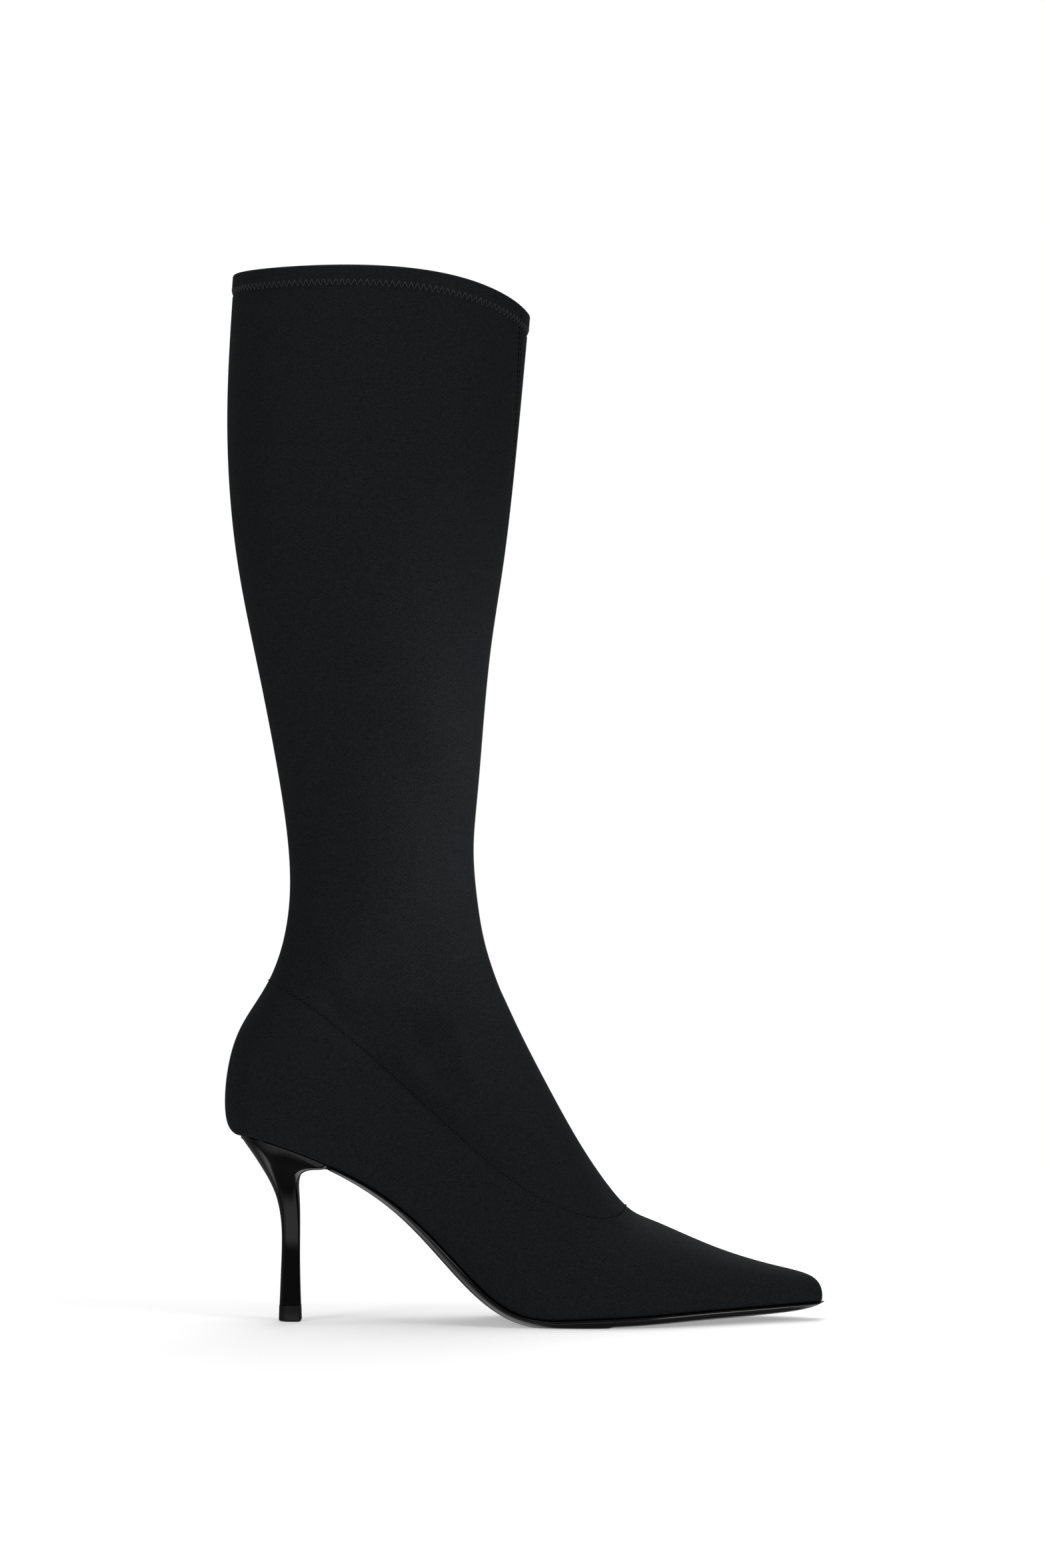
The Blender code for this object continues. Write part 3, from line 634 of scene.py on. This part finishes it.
# Thread
# Polyester sewing thread. A zigzag, a shade lighter than the knit, holds the hem round the collar, inside and
# outside. Short stitches that sink in between join the foot to the shaft, and two fine rows of near-black
# ones run beside the front seam. Their black is partly painted shade, which darkens the groove of the seam.

ZIGZAG_PITCH = 2.7
ZIGZAG_HIGH = 2.9
ZIGZAG_THICK = 0.32
STITCH_PITCH = 2.35
STITCH_SHARE = 0.50
STITCH_THICK = 0.50
STITCH_SINK = 0.08
FRONT_SHARE = 0.8
FRONT_THICK = {"outer": 0.34, "inner": 0.24}
FRONT_COLUMNS = 13
FRONT_ROWS = slice(8, -6)
THREAD_SIDES = 6
STITCH_WAY = np.array((0.0, 0.08, 0.25, 0.5, 0.75, 0.92, 1.0))
STITCH_LIFT = np.array((-1.4, 0.1, 0.8, 1.0, 0.8, 0.1, -1.4))


def line_at(rows, depth, value):
    """The closed line on a skin where a depth that falls from row to row has that value."""
    around = range(rows.shape[1])
    return np.array([[np.interp(-value, -depth[:, i], rows[:, i, k]) for k in range(3)] for i in around])


def places_along(line, pitch):
    """Places at an even pitch along a closed line, counted in its points; their number is even."""
    ring = np.vstack([line, line[:1]])
    run = np.concatenate([[0.0], np.cumsum(np.linalg.norm(np.diff(ring, axis=0), axis=1))])
    count = 2 * round(run[-1] / pitch / 2)
    return np.interp(np.arange(count) * run[-1] / count, run, np.arange(len(run)))


def points_along(line, places):
    """Points of a closed line at places counted in its points."""
    ring = np.vstack([line, line[:1]])
    return np.stack([np.interp(places % len(line), np.arange(len(ring)), ring[:, k]) for k in range(3)], -1)


def stitches(starts, ends, out, radius):
    """Points and faces of a length of thread from each start to its end, dipping into the cloth at both."""
    way = ends - starts
    side = np.cross(way, out)
    side = side / np.linalg.norm(side, axis=-1, keepdims=True)
    lift = out[:, None] * (STITCH_LIFT * radius)[:, None]
    middle = starts[:, None] + way[:, None] * STITCH_WAY[:, None] + lift
    angle = np.arange(THREAD_SIDES) * 2 * np.pi / THREAD_SIDES
    round_it = np.cos(angle)[:, None] * side[:, None, None] + np.sin(angle)[:, None] * out[:, None, None]
    points = middle[:, :, None] + radius * round_it
    rings = len(STITCH_WAY)
    tube = np.array(ring_faces(rings, THREAD_SIDES, False))
    first = np.arange(len(starts)) * rings * THREAD_SIDES
    faces = (first[:, None, None] + tube).reshape(-1, 4).tolist()
    start_cap = np.arange(THREAD_SIDES)
    end_cap = (rings - 1) * THREAD_SIDES + start_cap[::-1]
    faces += (first[:, None] + start_cap).tolist() + (first[:, None] + end_cap).tolist()
    return points, faces


def zigzag(rows, out, depth):
    """The hem's zigzag on one face of the shaft."""
    high = line_at(rows, depth, HEM_DEPTH - ZIGZAG_HIGH / 2)
    low = line_at(rows, depth, HEM_DEPTH + ZIGZAG_HIGH / 2)
    ways = line_at(out, depth, HEM_DEPTH)
    places = places_along((high + low) / 2, ZIGZAG_PITCH / 2)
    turns_up = np.arange(len(places))[:, None] % 2 == 0
    turns = np.where(turns_up, points_along(high, places), points_along(low, places))
    return stitches(turns, np.roll(turns, -1, 0), points_along(ways, places), ZIGZAG_THICK / 2)


# Filament polyester, dyed dark grey: each turn of the zigzag has a faint gleam
polyester_thread = new_material(
    "polyester thread", {"Base Color": srgb("343435"), "Roughness": 0.4, "Specular IOR Level": 0.3}
)
over_seam = leg_skin + leg_out * (FRONT_SEAM_DEEP * seam_groove)[..., None]
outside, outside_faces = zigzag(over_seam, leg_out, from_high)
inside, inside_faces = zigzag(leg_back, -leg_out, from_high)
shift = outside.size // 3
faces = outside_faces + [[c + shift for c in face] for face in inside_faces]
hem_thread = new_piece("hem_zigzag_thread", np.concatenate([outside, inside]), faces, [polyester_thread])
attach(hem_thread, "root")

# The same thread dyed black and spun, so it is as matte as the knit and shows by its shadows
black_thread = new_material(
    "black seam thread", {"Base Color": srgb("1f2021"), "Roughness": 0.8, "Specular IOR Level": 0.1}
)
sunk = STITCH_SINK + seam_valley(leg[0], 0.0, VALLEY_ABOVE)
seam_line, seam_ways = leg[0] - sunk[:, None] * leg_out[0], leg_out[2]
places = places_along(seam_line, STITCH_PITCH)
step = np.diff(places, append=places[:1] + len(seam_line))
starts, ends = points_along(seam_line, places), points_along(seam_line, places + STITCH_SHARE * step)
points, faces = stitches(starts, ends, points_along(seam_ways, places), STITCH_THICK / 2)
seam_thread = new_piece("foot_seam_thread", points, faces, [black_thread])
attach(seam_thread, "root")


def front_line(rows, aside):
    """The line up a skin that runs beside the shaft's front seam."""
    near = np.r_[-FRONT_COLUMNS:0, : len(outer_turn)]
    turns = seam_turn[FRONT_ROWS, 0] + aside / LEG_HALF_WIDTH
    picked = zip(turns, rows[:, near])
    return np.array([[np.interp(at, turn[near], row[:, k]) for k in range(3)] for at, row in picked])


# A near-black spun thread, darker than the knit. It is real stitching, and its black also paints the shade of
# the seam's groove as a thin dark line on the knit
seam_shade_thread = new_material(
    "black thread painting seam shade", {"Base Color": srgb("070707"), "Roughness": 0.9, "Specular IOR Level": 0.05}
)
# The black of these stitches is painted shade for the groove beside the front seam
for side, aside in (("outer", FRONT_SEAM_HALF), ("inner", -FRONT_SEAM_HALF)):
    line, ways = front_line(leg_skin[FRONT_ROWS], aside), front_line(leg_out[FRONT_ROWS], aside)
    run = np.concatenate([[0.0], np.cumsum(np.linalg.norm(np.diff(line, axis=0), axis=1))])
    begins = np.arange(0, run[-1] - STITCH_PITCH, STITCH_PITCH)
    starts, ends, out = [
        np.stack([np.interp(where, run, curve[:, k]) for k in range(3)], -1)
        for where, curve in ((begins, line), (begins + FRONT_SHARE * STITCH_PITCH, line), (begins, ways))
    ]
    points, faces = stitches(starts, ends, out, FRONT_THICK[side] / 2)
    front_thread_and_shade = new_piece("front_seam_shade_thread_" + side, points, faces, [seam_shade_thread])
    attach(front_thread_and_shade, "root")


# Outsole
# One thin black moulding from the toe through the arched waist to the heel seat, cemented under the turned
# edge of the upper. A bead runs round its top edge, and the thicker tread under the ball ends in a step.

SOLE_AROUND = 150
SOLE_ROWS = 22
SOLE_SHARP = 40.0
SOLE_EDGE = {
    "rim": (0.0, 0.5, 0.0),
    "bead": (0.22, 1.0, 0.0),
    "groove": (0.46, 0.6, 0.1),
    "wall": (0.84, 0.3, 0.5),
    "tread": (1.0, 0.0, 1.0),
}
SEAT_RECESS = 6.0
SEAT_FRONT = 45.8
SEAT_RUN = 1.5
TREAD_STEP = 0.6
TREAD_STEP_X = 166.7
TREAD_STEP_RUN = 0.5
TREAD_PEBBLE = 1.1
TREAD_RELIEF = 0.1

# Trimmed and polished with black wax: a narrow bright line round the foot
polished_edge = new_material(
    "polished sole edge", {"Base Color": srgb("0b0b0b"), "Roughness": 0.14, "IOR": 1.5}
)
# Moulded rubber: satin, with a fine pebble from the mould
moulded_tread = new_material(
    "moulded tread", {"Base Color": srgb("161616"), "Roughness": 0.55, "Specular IOR Level": 0.2}
)
tree = moulded_tread.node_tree
shader = tree.nodes["Principled BSDF"]
place = add_node(tree, "ShaderNodeTexCoord", {})
pebble = add_node(
    tree, "ShaderNodeTexVoronoi", {"Scale": 1 / (TREAD_PEBBLE * MM)}, [("Vector", place.outputs["Object"])]
)
tread = add_node(
    tree, "ShaderNodeBump", {"Strength": 0.25, "Distance": TREAD_RELIEF * MM},
    [("Height", pebble.outputs[0])],
)
tree.links.new(tread.outputs["Normal"], shader.inputs["Normal"])

edge = columns_of(("share", "out", "set_in"), SOLE_EDGE)
stations = feather_station(shares_across(SOLE_AROUND))
thickness, bevel = LAST["sole"](stations), LAST["bevel"](stations)
recess = SEAT_RECESS * step_in((SEAT_FRONT + SEAT_RUN - LAST["low_x"](stations)) / SEAT_RUN)
rows = []
for step in np.linspace(len(SOLE_EDGE) - 1, 0, SOLE_ROWS):
    down = GAP + (thickness - GAP) * edge["share"](step)
    rows.append(sole_ring(stations, edge["out"](step) - edge["set_in"](step) * bevel - recess, down))
rows = np.array(rows)
lift = TREAD_STEP * step_in((rows[:1, :, 0] - TREAD_STEP_X) / TREAD_STEP_RUN)
rows[..., 2] += lift * np.linspace(1, 0, SOLE_ROWS)[:, None] ** 2
outsole = new_piece("outsole_moulded", rows, solid_faces(rows), [polished_edge, moulded_tread], SOLE_SHARP)
edge_faces = (SOLE_ROWS - 1) * rows.shape[1]
underside = [face.index >= edge_faces for face in outsole.data.polygons]
outsole.data.polygons.foreach_set("material_index", np.array(underside, np.int32))
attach(outsole, "root")
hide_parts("outsole")


# Heel
# A stiletto heel of hard plastic with a high gloss black lacquer. It is cupped under the seat, where a nail
# and three screws from inside hold it, and its breast is slightly hollow.

HEEL_COLUMNS = ("back_x", "back_z", "front_x", "front_z", "half", "round", "corner", "hollow")
TIP_HEIGHT = 7.0
HEEL_SECTIONS = {
    "rim": (6.8, 78.4, 45.2, 65.8, 22.4, 0.55, 0.08, 4.0),
    "cup": (8.9, 76.7, 40.6, 66.1, 20.9, 0.55, 0.10, 3.2),
    "flare": (11.7, 73.6, 36.0, 65.7, 18.4, 0.55, 0.14, 2.2),
    "shoulder": (15.2, 68.4, 33.3, 63.6, 15.0, 0.52, 0.20, 1.6),
    "neck": (19.0, 62.0, 32.2, 59.6, 11.2, 0.48, 0.26, 0.9),
    "stem": (22.3, 54.6, 32.5, 53.6, 7.8, 0.44, 0.30, 0.5),
    "waist": (24.3, 45.6, 32.8, 45.6, 5.5, 0.41, 0.32, 0.3),
    "thin": (24.9, 35.6, 32.8, 35.6, 4.4, 0.40, 0.32, 0.2),
    "shin": (24.6, 24.0, 32.8, 24.0, 4.7, 0.40, 0.32, 0.2),
    "foot": (24.2, 14.0, 33.0, 14.0, 5.3, 0.40, 0.31, 0.2),
    "end": (23.9, TIP_HEIGHT + GAP, 33.2, TIP_HEIGHT + GAP, 5.7, 0.40, 0.30, 0.2),
}
HEEL_SEAT = {"back_x": 6.2, "front_x": 46.5, "half": 22.6, "round": 0.55, "corner": 0.06, "hollow": 4.0}
LIP_HIGH = 0.9
LIP_THICK = 0.9
SEAT_INSET = 1.0
WING_HIGH = 1.4
WING_X = 30.0
WING_LENGTH = 12.0
WING_END = 50.0
WING_TAPER = 9.0
LIP_FRONT = 47.5
LIP_FALL = 0.8
LIP_LEVELS = 2.5
LIP_BACK = 1.1
LIP_BACK_LENGTH = 4.0
HEEL_CORNER_IN = 0.34
HEEL_LEVELS = 110
HEEL_SHARP = 50.0
HEEL_BACK_STEPS = 26
HEEL_SIDE_STEPS = 16
HEEL_CORNER_STEPS = 14
HEEL_BREAST = np.linspace(0, 0.92, 9)


def heel_ring(back, front, half, round_share, corner, hollow, out=0.0):
    """A heel section: round behind, flat at the sides, with round corners to a hollowed breast in front."""
    behind = np.linspace(0, np.pi / 2, HEEL_BACK_STEPS + 1)
    before = np.linspace(0, np.pi / 2, HEEL_CORNER_STEPS + 1)
    depth, wide = front[0] - back[0] + 2 * out, half + out
    breast_x = depth - hollow * (1 - HEEL_BREAST**2)
    breast_y = HEEL_BREAST * wide * (1 - HEEL_CORNER_IN)
    corner_x = depth * (1 - corner * (1 - np.sin(before[::-1])))
    corner_y = wide * (1 - HEEL_CORNER_IN * (1 - np.cos(before[::-1])))
    side_x = depth * np.linspace(1 - corner, round_share, HEEL_SIDE_STEPS + 2)[1:-1]
    side_y = np.full(HEEL_SIDE_STEPS, wide)
    back_x = depth * round_share * (1 - np.cos(behind[::-1]))
    back_y = wide * np.sin(behind[::-1])
    x = back[0] - out + np.concatenate([breast_x, corner_x, side_x, back_x])
    y = np.concatenate([breast_y, corner_y, side_y, back_y])
    xs, ys = np.concatenate([x, x[-2:0:-1]]), np.concatenate([-y, y[-2:0:-1]])
    zs = back[1] + (front[1] - back[1]) * (xs - back[0]) / (front[0] - back[0])
    return np.stack([xs, ys, zs], -1)


def sole_heights(x):
    """Heights of the outsole's top and of its underside, at places along the boot."""
    stations = np.linspace(TOE, HEEL_END, SAMPLES)
    top = low_end(stations)
    under = top + (sole_down(stations) * LAST["sole"](stations)[:, None])[:, (0, 2)]
    return [np.interp(-x, -line[:, 0], line[:, 1]) for line in (top, under)]


def seat_height(x, lip):
    """Height of the heel's top, or of its lip, which rises past the sole's edge and ends in front."""
    rise = lip * step_in((LIP_FRONT - x) / LIP_FALL)
    top, under = sole_heights(x)
    lip_top = top + LIP_BACK * bell(x - HEEL_SEAT["back_x"], LIP_BACK_LENGTH)
    return rise * lip_top + (1 - rise) * under - GAP


def seat_ring(out, lip):
    """The heel's top or the edge of its lip, with its outline set out or in."""
    form = HEEL_SEAT["half"], HEEL_SEAT["round"], HEEL_SEAT["corner"], HEEL_SEAT["hollow"]
    ring = heel_ring((HEEL_SEAT["back_x"], 0.0), (HEEL_SEAT["front_x"], 0.0), *form, out)
    ring[:, 2] = seat_height(ring[:, 0], lip)
    return ring


# Poured black lacquer: deep, mirror smooth
black_lacquer = new_material(
    "black lacquer", {"Base Color": srgb("040404"), "Roughness": 0.05, "IOR": 1.4}
)

HEEL = columns_of(HEEL_COLUMNS, HEEL_SECTIONS)
rim = dict(zip(HEEL_COLUMNS, HEEL_SECTIONS["rim"]))
rows = []
for level in np.linspace(len(HEEL_SECTIONS) - 1, 0, HEEL_LEVELS):
    at = {name: curve(level) for name, curve in HEEL.items()}
    back, front = (at["back_x"], at["back_z"]), (at["front_x"], at["front_z"])
    ring = heel_ring(back, front, at["half"], at["round"], at["corner"], at["hollow"])
    rim_z = np.interp(ring[:, 0], (rim["back_x"], rim["front_x"]), (rim["back_z"], rim["front_z"]))
    wing = step_in((ring[:, 0] - WING_X) / WING_LENGTH) * step_in((WING_END - ring[:, 0]) / WING_TAPER)
    lip_high = LIP_HIGH + WING_HIGH * wing
    to_lip = seat_height(ring[:, 0], 1.0) - lip_high - rim_z
    ring[:, 2] += to_lip * np.clip(1 - level / LIP_LEVELS, 0, 1) ** 2
    rows.append(ring)
rows = np.array(rows + [seat_ring(0.0, 1.0), seat_ring(-LIP_THICK, 1.0), seat_ring(-SEAT_INSET, 0.0)])
heel = new_piece("heel_lacquered", rows, solid_faces(rows), [black_lacquer], HEEL_SHARP)
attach(heel, "root")
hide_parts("heel")


# Heel tip
# The wearing top piece, a pad of hard plastic that is a little wider than the end of the heel. A steel pin
# moulded into it is driven up into the heel.

TIP_ROUND = 0.5
TIP_CORNER = 0.12
TIP_SHARP = 35.0
TIP_LEVELS = {
    "rest": (0.0, -0.20),
    "corner": (0.25, 0.10),
    "edge": (0.6, 0.30),
    "side": (4.0, 0.20),
    "shoulder": (6.8, 0.10),
    "top": (TIP_HEIGHT, -0.10),
    "pin": (TIP_HEIGHT + 2 * GAP, -0.50),
}

# Moulded polyurethane: a satin black, duller than the lacquer above it
top_piece = new_material(
    "satin top piece", {"Base Color": srgb("0f0f10"), "Roughness": 0.35, "Specular IOR Level": 0.25}
)
end = dict(zip(HEEL_COLUMNS, HEEL_SECTIONS["end"]))
rows = []
for height, out in TIP_LEVELS.values():
    back, front = (end["back_x"], height), (end["front_x"], height)
    rows.append(heel_ring(back, front, end["half"], TIP_ROUND, TIP_CORNER, end["hollow"], out))
rows = np.array(rows)
heel_tip = new_piece("heel_top_piece", rows, solid_faces(rows), [top_piece], TIP_SHARP)
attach(heel_tip, "root")
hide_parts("heel_tip")


# Stage and camera
# A white floor in a studio with soft boxes at the left, the right, above and behind. The floor glows
# slightly, so that it stays white round the boot's soft shadow. Places here are in metres.

FLOOR_RADIUS = 0.9
FLOOR_CORNERS = 96
WHITE = (1, 1, 1, 1)

# Matte white paper
white_floor = new_material(
    "white floor",
    {"Base Color": srgb("fcfcfc"), "Roughness": 0.9, "Emission Color": WHITE, "Emission Strength": 0.35},
)
mesh = bpy.data.meshes.new("floor")
turns = np.arange(FLOOR_CORNERS) * 2 * np.pi / FLOOR_CORNERS
circle = np.stack([np.cos(turns), np.sin(turns), np.zeros(FLOOR_CORNERS)], -1) * FLOOR_RADIUS
mesh.from_pydata(circle.tolist(), [], [list(range(FLOOR_CORNERS))])
mesh.materials.append(white_floor)
floor = bpy.data.objects.new("floor", mesh)
bpy.context.scene.collection.objects.link(floor)
floor.visible_glossy = False


def face_to(location, target):
    """The rotation with which a lamp at that place faces a target."""
    way = np.array(target) - location
    return np.arctan2(np.hypot(way[0], way[1]), -way[2]), 0, np.arctan2(way[1], way[0]) - np.pi / 2


# Each soft box has its place, the point that it faces, its width and height, and its power in watts
SOFT_BOXES = {
    "soft box above": ((0, 0.25, 2.0), (0, 0, 0), (1.5, 1.5), 20),
    "soft box left": ((-1.6, -1.6, 1.2), (0, 0, 0.22), (0.9, 1.2), 14),
    "soft box right": ((1.8, -1.3, 1.2), (0, 0, 0.22), (0.9, 1.2), 16),
    "soft box behind": ((0.2, 1.9, 1.6), (0, 0, 0.22), (1.2, 1.2), 9),
}
scene = bpy.context.scene
for name, (location, target, size, power) in SOFT_BOXES.items():
    light = bpy.data.lights.new(name, "AREA")
    light.shape = "RECTANGLE"
    light.size, light.size_y = size
    light.energy = power
    lamp = bpy.data.objects.new(name, light)
    lamp.location = location
    lamp.rotation_euler = face_to(location, target)
    lamp.visible_camera = False
    scene.collection.objects.link(lamp)

# A narrow spot from the right that lights the shin above the ankle
SPOT_PLACE = (1.2, -0.22, 0.30)
SHIN = (-0.02, -0.01, 0.225)
spot = bpy.data.lights.new("shin spot", "SPOT")
spot.energy = 70
spot.spot_size = np.radians(9)
spot.spot_blend = 1.0
spot.shadow_soft_size = 0.1
lamp = bpy.data.objects.new("shin spot", spot)
lamp.location = SPOT_PLACE
lamp.rotation_euler = face_to(SPOT_PLACE, SHIN)
scene.collection.objects.link(lamp)

# The studio's light by direction: a dim room with a pale band below eye level, which is brighter towards the
# front, and a lit floor behind that only steep reflections reach. The background itself is plain white.
scene.world = bpy.data.worlds.new("white studio")
scene.world.use_nodes = True
tree = scene.world.node_tree
sky = tree.nodes["Background"]
way = add_node(tree, "ShaderNodeTexCoord", {})
height = add_node(tree, "ShaderNodeSeparateXYZ", {}, [(0, way.outputs["Generated"])])
below_level = add_node(
    tree, "ShaderNodeMapRange", {"interpolation_type": "SMOOTHSTEP", "From Min": -0.03, "From Max": -0.16},
    [(0, height.outputs[2])],
)
above_ground = add_node(
    tree, "ShaderNodeMapRange", {"interpolation_type": "SMOOTHSTEP", "From Min": -0.88, "From Max": -0.5},
    [(0, height.outputs[2])],
)
band = add_node(
    tree, "ShaderNodeMath", {"operation": "MULTIPLY"},
    [(0, below_level.outputs[0]), (1, above_ground.outputs[0])],
)
in_front = add_node(
    tree, "ShaderNodeMapRange", {"From Min": -0.7, "From Max": 0.2, "To Min": 0.9, "To Max": 0.1},
    [(0, height.outputs[1])],
)
room = add_node(
    tree, "ShaderNodeMapRange", {"To Min": 0.10}, [(0, band.outputs[0]), ("To Max", in_front.outputs[0])]
)
behind = add_node(
    tree, "ShaderNodeMapRange", {"interpolation_type": "SMOOTHSTEP", "From Min": 0.28, "From Max": 0.45},
    [(0, height.outputs[1])],
)
steep = add_node(
    tree, "ShaderNodeMapRange", {"interpolation_type": "SMOOTHSTEP", "From Min": -0.45, "From Max": -0.7},
    [(0, height.outputs[2])],
)
lit_floor = add_node(
    tree, "ShaderNodeMath", {"operation": "MULTIPLY"}, [(0, behind.outputs[0]), (1, steep.outputs[0])]
)
studio = add_node(
    tree, "ShaderNodeMath", {"operation": "ADD"}, [(0, room.outputs[0]), (1, lit_floor.outputs[0])]
)
seen = add_node(tree, "ShaderNodeLightPath", {})
shown = add_node(
    tree, "ShaderNodeMix", {"data_type": "FLOAT", 3: 1.0},
    [(0, seen.outputs["Is Camera Ray"]), (2, studio.outputs[0])],
)
tree.links.new(shown.outputs[0], sky.inputs["Strength"])
sky.inputs["Color"].default_value = WHITE

# A level camera square to the outer side of the boot
CAMERA_PLACE = (-0.0011, -2.3, 0.2333)
lens = bpy.data.cameras.new("camera")
lens.lens = 121.45
lens.sensor_width = 36
camera = bpy.data.objects.new("camera", lens)
camera.location = CAMERA_PLACE
camera.rotation_euler = (np.pi / 2, 0, 0)
scene.collection.objects.link(camera)
scene.camera = camera
scene.view_settings.view_transform = "Standard"
